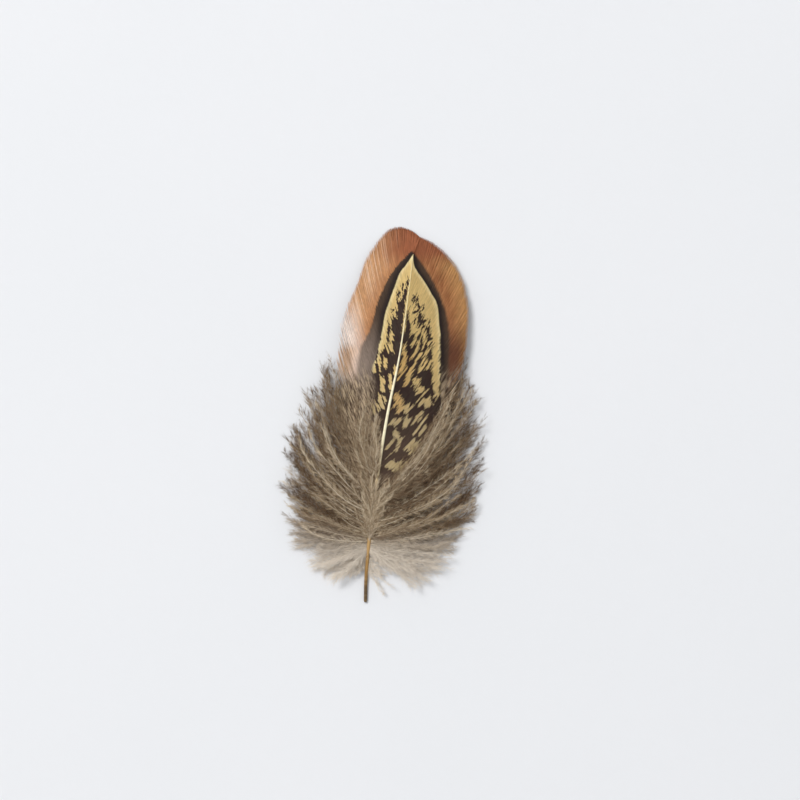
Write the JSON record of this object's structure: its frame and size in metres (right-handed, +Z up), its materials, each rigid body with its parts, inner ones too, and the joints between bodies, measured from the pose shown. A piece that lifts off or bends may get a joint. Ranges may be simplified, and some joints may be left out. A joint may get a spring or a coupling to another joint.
{
  "type": "pheasant plumage feather",
  "caption": "Short rounded body feather lying flat: a curved shaft with a bare quill, two cambered vanes that part in a notch at the tip, and a fan of soft down at the base.",
  "frame": {"origin": "on the surface that the feather lies on, under the middle of its box", "axes": "+Z up out of that surface, +Y from the bare quill to the tip of the vane, +X to the right as seen with the patterned side up"},
  "size_m": [0.042, 0.0754, 0.005],
  "materials": {
    "feather": "matte"
  },
  "bodies": {
    "root": {"feather": "feather"}
  },
  "joints": []
}
